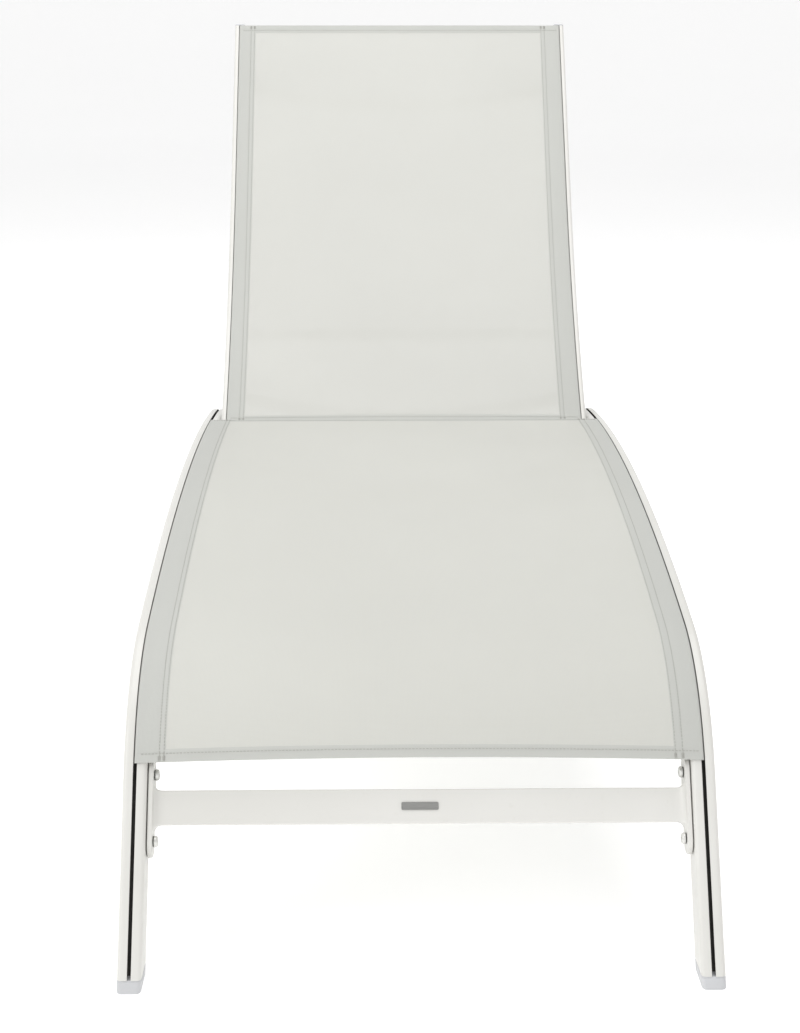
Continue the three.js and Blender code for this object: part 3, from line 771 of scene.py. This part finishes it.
def weld_bead(name, sign, half_span, place, stations=80, sides=8):
    """The rippled bead round a tube's end, against the rail."""
    slope = math.asin(half_span / bow_radius(half_span))
    points = []
    for k in range(stations):
        t = 2 * math.pi * k / stations
        ripple = 1 + BEAD_RIPPLE * math.sin(t * BEAD_RIPPLES)
        for j in range(sides):
            u = 2 * math.pi * j / sides
            reach = TUBE_R + 0.0010 * math.cos(u) * ripple
            x = sign * (half_span - 0.0012 + BEAD_R * math.sin(u) * ripple)
            depth = reach * math.cos(t) / math.cos(slope)
            points.append(place @ Vector((x, depth, reach * math.sin(t))))
    faces = ring_faces(stations, sides)
    last = (stations - 1) * sides
    for j in range(sides):
        nxt = (j + 1) % sides
        faces.append((last + j, last + nxt, nxt, j))
    return make_object(name, points, faces, [WHITE], 60.0)


def cross_tubes():
    spans = [
        (f"backrest_cross_tube_{name}", "backrest", BACK_INNER - GAP, back_route.matrix(at))
        for name, at in BACK_TUBES.items()
    ]
    seat_place = side_route.matrix(SEAT_TUBE_AT, 0.0, SIDE["depth"] / 2)
    spans.append(("seat_cross_tube", "frame", SIDE_INNER - GAP, seat_place))
    for node, body, half_span, place in spans:
        tube = bowed_tube(f"{node}.fine", half_span, place)
        install(tube, body, "white_aluminium", node)
        for side, sign in SIDES:
            bead = weld_bead(f"{node}_weld_{side}", sign, half_span, place)
            install(bead, body, "white_aluminium")


# -------- backrest rails and racks

def backrest_rails():
    outline, marks = rail_section(BACK)
    half_w, half_d = BACK["width"] / 2, BACK["depth"] / 2
    crown = ((0.0, 0.0), (0.45, 0.0), (0.7, 0.0003), (0.88, 0.0010), (1.0, 0.0022))
    stops = back_route.stations(-BACK_TAIL, BACK_LENGTH, 1.5)
    for name, sign in SIDES:
        x0 = sign * BACK_SLOTS / 2
        rings = [[back_route.point(s, x0 + x, d - half_d) for x, d in outline] for s in stops]
        rail = loft(f"backrest_rail_{name}.fine", rings, [WHITE, BACK_CHANNEL_SHADE], 32.0, marks)
        install(rail, "backrest", "white_aluminium", f"backrest_rail_{name}")
        caps = (
            ("upper", BACK_LENGTH + GAP, 1, UPPER_CAP),
            ("lower", -BACK_TAIL - GAP, -1, LOWER_CAP),
        )
        for level, start, way, tall in caps:
            rings = []
            for share, inset in crown:
                run = start + way * tall * share
                corner = BACK["corner"] - inset * 0.3
                shape = rounded(half_w - inset, half_d - inset, corner, 6)
                rings.append([back_route.point(run, x0 + x, d) for x, d in shape])
            cap = loft(f"backrest_cap_{level}_{name}.fine", rings, [GREY_PLASTIC], 30.0)
            install(cap, "backrest", "grey_plastic", f"backrest_cap_{level}_{name}")


def rack_outline():
    """Outline of a notched rack in the side view, as (y, z) pairs."""
    start, end, edge, back = RACK["start"], RACK["end"], RACK["edge"], RACK["back"]
    r = 0.004
    outline = arc(start + r, back + r, r, 180, 270, 5)
    outline += [(run, back) for run in np.linspace(start + 0.02, end - 0.02, 9)]
    outline += arc(end - r, back + r, r, 270, 360, 5)
    outline += arc(end - r, edge - r, r, 0, 90, 5)
    for k in reversed(range(NOTCHES)):
        outline += arc(PROP_MEETS + k * NOTCH_STEP, edge, NOTCH_R, 0, -180, 16)
    outline += arc(start + r, edge - r, r, 90, 180, 5)
    placed = [back_route.point(run, 0.0, depth) for run, depth in outline]
    return [(point.y, point.z) for point in placed]


def racks():
    outline = rack_outline()
    thick = RACK["thick"]
    for name, sign in SIDES:
        x = sign * (BACK_INNER - GAP - thick / 2)
        rack = plate_object(f"adjusting_rack_{name}.fine", outline, x, thick, NYLON, 0.0005)
        install(rack, "backrest", "nylon", f"adjusting_rack_{name}")
        for index, at in enumerate(RACK_SCREWS):
            node = f"rack_screw_{name}_{index + 1}"
            place = back_route.matrix(at) @ facing(sign)
            seat = BACK_INNER - 2 * GAP - thick
            install(rack_screw(f"{node}.fine", seat, place), "backrest", "steel", node)


def rack_screw(name, seat, place):
    """A domed screw head with a hexagon socket, and its shank in the rack and rail."""
    face, socket, tip = seat - 0.0026, seat - 0.0012, BACK_INNER + 0.001
    shank_r = 0.0022
    return lathe(name, [
        (socket, 0.0), (socket, 0.0014, "hex"), (face, 0.0015, "hex"),
        (face, 0.0021), (seat - 0.0022, 0.0032), (seat - 0.0010, 0.0040),
        (seat - EASE, 0.0042), (seat, 0.0041), (seat, shank_r),
        (tip, shank_r), (tip, 0.0),
    ], place, STEEL, 30)


# -------- hinge and prop

def hinge_and_prop():
    meet = back_route.point(PROP_MEETS, 0.0, RACK_DROP)
    arm_outer = SIDE_INNER - PROP_ARM["gap"]
    arm_inner = arm_outer - PROP_ARM["thick"]
    for name, sign in SIDES:
        at_hinge = Matrix.Translation((0, hinge.y, hinge.z)) @ facing(sign)
        at_prop = Matrix.Translation((0, prop_pivot.y, prop_pivot.z)) @ facing(sign)
        bush = hinge_bush(f"hinge_bush_{name}.fine", at_hinge)
        install(bush, "backrest", "nylon", f"hinge_bush_{name}")
        sealed_bolt(f"hinge_bolt_{name}", BACK_INNER - GAP, HINGE_HEAD, at_hinge)
        sealed_bolt(f"prop_bolt_{name}", arm_inner - GAP, PROP_HEAD, at_prop)
        washer = prop_washer(f"prop_washer_{name}.fine", arm_outer + GAP, at_prop)
        install(washer, "frame", "nylon", f"prop_washer_{name}")
        x = sign * (arm_inner + arm_outer) / 2
        outline = prop_arm_outline(meet)
        arm = plate_object(f"prop_arm_{name}.fine", outline, x, PROP_ARM["thick"], WHITE, 0.0008)
        install(arm, "prop", "white_aluminium", f"prop_arm_{name}")
    end, ease = arm_inner - GAP, 0.0008
    profile = [(-end, 0.0), (-end, PROP_BAR_R - ease), (-end + ease, PROP_BAR_R)]
    profile += [(end * k / 8, PROP_BAR_R) for k in range(-7, 8)]
    profile += [(end - ease, PROP_BAR_R), (end, PROP_BAR_R - ease), (end, 0.0)]
    bar = lathe("prop_bar.fine", profile, Matrix.Translation((0, meet.y, meet.z)), WHITE, 32)
    install(bar, "prop", "white_aluminium", "prop_bar")


def hinge_bush(name, place):
    """The flange of a hinge bush, against the outside of the backrest's rail."""
    near, far = BACK_OUTER + GAP, BACK_OUTER + HINGE_BUSH["reach"]
    r, bore = HINGE_BUSH["r"], HINGE_BUSH["bore"]
    return lathe(name, [
        (near, bore), (near, r - 0.0003), (near + 0.0004, r),
        (far - 0.0005, r), (far, r - 0.0004), (far, bore),
    ], place, NYLON, 40)


def prop_washer(name, near, place):
    """The washer between a prop arm and its side rail."""
    far = SIDE_INNER - GAP
    r, bore = PROP_WASHER["r"], PROP_WASHER["bore"]
    return lathe(name, [
        (near, bore), (near, r - 0.0003), (near + EASE, r),
        (far - EASE, r), (far, r - 0.0003), (far, bore),
    ], place, NYLON, 36)


def prop_arm_outline(meet):
    """A bar with round ends from the prop bolt to the prop bar, as (y, z) pairs."""
    heading = math.degrees(math.atan2(meet.z - prop_pivot.z, meet.y - prop_pivot.y))
    half = PROP_ARM["width"] / 2
    return (
        arc(prop_pivot.y, prop_pivot.z, half, heading + 90, heading + 270, 20)
        + arc(meet.y, meet.z, half, heading - 90, heading + 90, 20)
    )


# -------- slings

class Sling:
    """A stretched cloth between two rails: hemmed on all sides, sewn, and let into the slots."""

    REACH = 0.0008  # how far the cloth runs past the middle of its slot
    EDGE = 0.0024  # width of the rounded edge that turns down into the slot
    EDGE_DROP = 0.0030
    MARGIN = 0.0018  # from a side hem's last stitch row to its edge
    END_ROW = 0.005  # from an end hem's edge back to its stitch row
    SIDE_HEM_RISE = 0.00045
    END_HEM_RISE = 0.00050
    STEP = 0.0012  # width over which a hem rises
    GROOVE = dict(depth=0.00022, half=0.0011)  # drawn in by a stitch row
    STITCH = dict(pitch=0.0038, long=0.0031, r=0.00042, rise=0.00030)
    TACK = dict(half=0.0017, pitch=0.0009, count=6)  # bars across the rows at both ends

    def __init__(self, route, slots, face, span, rows, hems, sag, draw):
        self.route = route
        self.half = slots / 2
        self.face = face  # depth of the rails' top faces below the route
        self.span = span
        self.length = span[1] - span[0]
        self.rows = rows  # stitch rows from the slot, {-1: (...), 1: (...)}
        self.hems = hems  # depth of the hem at each end
        self.sag = sag
        self.draw = draw  # how far the front edge is drawn in at the middle

    def share(self, x):
        return 1 - min(1.0, abs(x) / self.half) ** 2

    def front(self, x):
        return self.span[0] + self.draw * self.share(x)

    def run_of(self, x, t):
        """Distance along the route at a share t of the cloth's length."""
        start = self.front(x)
        return start + (self.span[1] - start) * t

    def side_rows(self, x):
        return self.rows[1 if x > 0 else -1]

    def hem_edge(self, x):
        return self.side_rows(x)[-1] + self.MARGIN

    def groove(self, off):
        return self.GROOVE["depth"] * bell(off / self.GROOVE["half"])

    def relief(self, x, run):
        """Height of the cloth's face over the flat: hems, sewing grooves and soft ripples."""
        from_slot = self.half - abs(x)
        lift = self.SIDE_HEM_RISE * smooth((self.hem_edge(x) - from_slot) / self.STEP)
        for edge, hem in ((run - self.front(x), self.hems[0]), (self.span[1] - run, self.hems[1])):
            lift = max(lift, self.END_HEM_RISE * smooth((hem - edge) / self.STEP))
            lift -= self.groove(edge - (hem - self.END_ROW))
        for row in self.side_rows(x):
            lift -= self.groove(from_slot - row)
        ripple = math.sin(run * 74 + 3 * x) + 0.6 * math.sin(run * 129 - 5 * x + 1)
        lift += 0.00018 * ripple * bell((from_slot - 0.045) / 0.03)
        return lift

    def point(self, x, t, under=0.0):
        """A point of the cloth's face, or below it by under."""
        run = self.run_of(x, t)
        drop = self.sag * self.share(x) ** 0.8 * math.sin(math.pi * min(1, max(0, t))) ** 0.5
        up = GAP + CLOTH + self.relief(x, run) - drop - under
        dip = 1 - (self.half - abs(x) + self.REACH) / self.EDGE
        if dip > 0:
            up -= self.EDGE_DROP * (1 - math.sqrt(max(0.0, 1 - dip ** 2)))
        return self.route.point(run, x, self.face - up)

    def columns(self):
        """Distances across: close at the slots, hems and stitch rows, wide in the middle."""
        out = set()
        for sign in (-1, 1):
            near = [share * self.EDGE - self.REACH for share in (0, 0.04, 0.14, 0.32, 0.6, 1)]
            near += [0.004, 0.009, 0.015]
            edge = self.hem_edge(sign)
            near += [edge - 0.0013, edge - 0.0004, edge + 0.0004, edge + 0.0014]
            for row in self.rows[sign]:
                near += [row - 0.0012, row - 0.0005, row, row + 0.0005, row + 0.0012]
            near += [edge + 0.008, edge + 0.018, edge + 0.030]
            out |= {round(sign * (self.half - d), 6) for d in near}
        inner = self.half - 0.070
        out |= {round(x, 6) for x in np.linspace(-inner, inner, 25)}
        return sorted(out)

    def lines(self):
        """Shares along: close at the end hems and their stitch rows."""
        out = set(np.linspace(0.035, 0.965, round(self.length / 0.0125)).round(6))
        for flip, hem in ((False, self.hems[0]), (True, self.hems[1])):
            row = hem - self.END_ROW
            near = [0.0, 0.0006, row - 0.0012, row - 0.0005, row, row + 0.0005, row + 0.0012]
            near += [hem - self.STEP, hem, hem + self.STEP, hem + 0.008]
            for d in near:
                t = d / self.length
                out.add(round(1 - t if flip else t, 6))
        return sorted(out)

    def build(self, name, material):
        """The cloth as a thin closed slab, its hems in their own material."""
        columns, lines = self.columns(), self.lines()
        thick = CLOTH - EASE
        top = [self.point(x, t) for t in lines for x in columns]
        low = [self.point(x, t, thick) for t in lines for x in columns]
        wide, tall = len(columns), len(lines)
        faces, marks = [], []
        offset = wide * tall
        for r in range(tall - 1):
            for c in range(wide - 1):
                a = r * wide + c
                quad = (a, a + 1, a + wide + 1, a + wide)
                x = (columns[c] + columns[c + 1]) / 2
                run = (lines[r] + lines[r + 1]) / 2 * self.length
                hem = self.half - abs(x) < self.hem_edge(x) - 0.0004
                hem = hem or run < self.hems[0] or self.length - run < self.hems[1]
                faces.append(quad)
                faces.append(tuple(offset + k for k in reversed(quad)))
                marks += [int(hem), int(hem)]
        rim = list(range(wide))
        rim += [r * wide + wide - 1 for r in range(1, tall)]
        rim += [(tall - 1) * wide + c for c in range(wide - 2, -1, -1)]
        rim += [r * wide for r in range(tall - 2, 0, -1)]
        for k, a in enumerate(rim):
            b = rim[(k + 1) % len(rim)]
            faces.append((b, a, offset + a, offset + b))
            marks.append(1)
        cloth = make_object(name, top + low, faces, [material, HEM_CLOTH], 50.0, marks)
        places = [(x, t * self.length) for t in lines for x in columns] * 2
        layer = cloth.data.uv_layers.new(name="cloth")
        for loop in cloth.data.loops:
            layer.data[loop.index].uv = places[loop.vertex_index]
        return cloth

    def seams(self):
        """Both ends, as (x, share along), of every stitch in turn."""
        pitch, long = self.STITCH["pitch"], self.STITCH["long"]
        tack, count = self.TACK, self.TACK["count"]
        out = []
        for sign, rows in self.rows.items():
            for row in rows:
                x = sign * (self.half - row)
                for k in range(int((self.length - 0.004) / pitch)):
                    t = (0.002 + k * pitch) / self.length
                    out.append(((x, t), (x, t + long / self.length)))
                for end in (0.004, self.length - 0.004):
                    for k in range(count):
                        t = (end + (k - (count - 1) / 2) * tack["pitch"]) / self.length
                        out.append(((x - tack["half"], t), (x + tack["half"], t)))
        for hem, flip in ((self.hems[0], False), (self.hems[1], True)):
            t = (hem - self.END_ROW) / self.length
            t = 1 - t if flip else t
            x = -self.half + 0.006
            while x < self.half - 0.006:
                out.append(((x, t), (x + long, t)))
                x += pitch
        return out

    def stitches(self, name, sides=5):
        """Every visible stitch, as a short thread that rises from one hole and enters the next."""
        r, rise = self.STITCH["r"], self.STITCH["rise"]
        shape = ((0.0, -rise, 0.45), (0.22, rise, 1.0), (0.78, rise, 1.0), (1.0, -rise, 0.45))
        points, faces = [], []
        for (x0, t0), (x1, t1) in self.seams():
            a, b = self.point(x0, t0), self.point(x1, t1)
            along = (b - a).normalized()
            across = self.point(x0 + 0.001, t0) - a
            if abs(across.normalized().dot(along)) > 0.7:
                across = self.point(x0, t0 + 0.002) - a
            side = (across - along * across.dot(along)).normalized()
            up = along.cross(side)
            heading = self.route.at(self.run_of(x0, t0))[2]
            if up.dot(Vector((0, -math.sin(heading), math.cos(heading)))) < 0:
                up = -up
            base = len(points)
            for share, lift, fat in shape:
                centre = a.lerp(b, share) + up * lift
                for j in range(sides):
                    u = 2 * math.pi * j / sides
                    out = side * (r * fat * math.cos(u)) + up * (r * fat * math.sin(u))
                    points.append(centre + out)
            faces += ring_faces(len(shape), sides, base)
            last = base + (len(shape) - 1) * sides
            faces.append(tuple(base + j for j in reversed(range(sides))))
            faces.append(tuple(last + j for j in range(sides)))
        return make_object(name, points, faces, [THREAD], 60.0)


def smooth(t):
    t = min(1.0, max(0.0, t))
    return t * t * (3 - 2 * t)


def bell(t):
    return math.exp(-t * t)


def splines(node, route, rail, slots, face, span, r):
    """Round keder rods inside the channels, wrapped by the cloth and cut square at both ends."""
    middle = channel_depth(rail)
    for name, sign in SIDES:
        x0 = sign * slots / 2
        rings = []
        stops = [span[0] + 0.001, span[0] + 0.0015]
        stops += route.stations(span[0] + 0.004, span[1] - 0.004)
        stops += [span[1] - 0.0015, span[1] - 0.001]
        for stop in stops:
            fat = r - 0.0004 if stop in (stops[0], stops[-1]) else r
            ring = arc(0, 0, fat, 0, 337.5, 15)
            rings.append([route.point(stop, x0 + x, face + middle + d) for x, d in ring])
        rod = loft(f"{node}_spline_{name}.fine", rings, [KEDER_SHADE_TONE], 40.0)
        body = "frame" if node == "seat" else "backrest"
        install(rod, body, "keder", f"{node}_spline_{name}")


def slings():
    back_face = -BACK["depth"] / 2
    seat = Sling(
        side_route, SIDE_SLOTS, 0.0, (SEAT_FRONT, SEAT_END),
        rows={-1: (0.026, 0.031), 1: (0.022, 0.030)}, hems=(0.0145, 0.013),
        sag=0.0022, draw=0.0045,
    )
    back = Sling(
        back_route, BACK_SLOTS, back_face, BACK_SLING,
        rows={-1: (0.020, 0.026), 1: (0.026, 0.032)}, hems=(0.013, 0.0150),
        sag=0.0020, draw=0.002,
    )
    for node, body, rail, sling, material in (
        ("seat", "frame", "side_rail", seat, SEAT_CLOTH_SHADED),
        ("backrest", "backrest", "backrest_rail", back, BACK_CLOTH_LIT),
    ):
        cloth = sling.build(f"{node}_sling.cloth", material)
        install(cloth, body, "sling", f"{node}_sling")
        thread = sling.stitches(f"{node}_sling_stitches")
        install(thread, body, "sling")
        flat = (2 * sling.half, sling.length)
    splines("seat", side_route, SIDE, SIDE_SLOTS, 0.0, seat.span, SEAT_KEDER_R)
    splines("backrest", back_route, BACK, BACK_SLOTS, back_face, back.span, BACK_KEDER_R)


# -------- the part

side_rails()
foot_caps()
crossbars()
cross_tubes()
backrest_rails()
racks()
hinge_and_prop()
slings()


# -------- studio

FLOOR_FLAT = 14.0
RIM_RADIUS = 10.0
RIM_STEPS = 15
RIM_STEP = math.radians(5.0)

LENS = 62.78  # millimetres, on a sensor 36 wide
CAMERA_BACK = 1.6836  # in front of the front feet
CAMERA_X = -0.0482
CAMERA_HEIGHT = 0.982
CAMERA_DOWN = 15.43
CAMERA_TURN = -0.85


def studio_bowl(sides=96):
    """A level floor whose far rim curves up, so that no horizon shows."""
    points = []
    for k in range(RIM_STEPS + 1):
        a = k * RIM_STEP
        radius = FLOOR_FLAT + RIM_RADIUS * math.sin(a)
        height = RIM_RADIUS * (1 - math.cos(a))
        turns = [2 * math.pi * n / sides for n in range(sides)]
        points += [(radius * math.cos(t), radius * math.sin(t), height) for t in turns]
    faces = [tuple(range(sides))] + ring_faces(RIM_STEPS + 1, sides)
    make_object("studio_floor", points, faces, [studio_floor()])


def softbox(name, place, target, size, power):
    light = bpy.data.lights.new(name, "AREA")
    light.shape = "RECTANGLE"
    light.size, light.size_y = size
    light.energy = power
    lamp = bpy.data.objects.new(name, light)
    lamp.location = place
    aim = Vector(target) - Vector(place)
    lamp.rotation_euler = aim.to_track_quat("-Z", "Y").to_euler()
    bpy.context.scene.collection.objects.link(lamp)


def soft_light():
    softbox("overhead", (0.0, 0.4, 4.4), (0.0, 0.1, 0.3), (3.4, 3.8), 112.0)
    softbox("left_key", (-2.6, -2.0, 2.4), (0.0, 0.0, 0.3), (1.8, 1.8), 38.0)
    softbox("front_fill", (0.9, -3.2, 1.3), (0.0, 0.4, 0.6), (1.8, 1.8), 7.5)
    world = bpy.data.worlds.new("studio")
    world.use_nodes = True
    background = world.node_tree.nodes["Background"]
    background.inputs["Color"].default_value = (1, 1, 1, 1)
    background.inputs["Strength"].default_value = 0.55
    bpy.context.scene.world = world
    bpy.context.scene.view_settings.view_transform = "Standard"
    bpy.context.scene.view_settings.look = "None"


def front_camera():
    eye = bpy.data.cameras.new("camera")
    eye.sensor_fit = "AUTO"
    eye.sensor_width = 36.0
    eye.lens = LENS
    camera = bpy.data.objects.new("camera", eye)
    camera.location = (CAMERA_X, front_feet - CAMERA_BACK, CAMERA_HEIGHT)
    camera.rotation_euler = (math.radians(90 - CAMERA_DOWN), 0.0, math.radians(CAMERA_TURN))
    bpy.context.scene.collection.objects.link(camera)
    bpy.context.scene.camera = camera


studio_bowl()
soft_light()
front_camera()
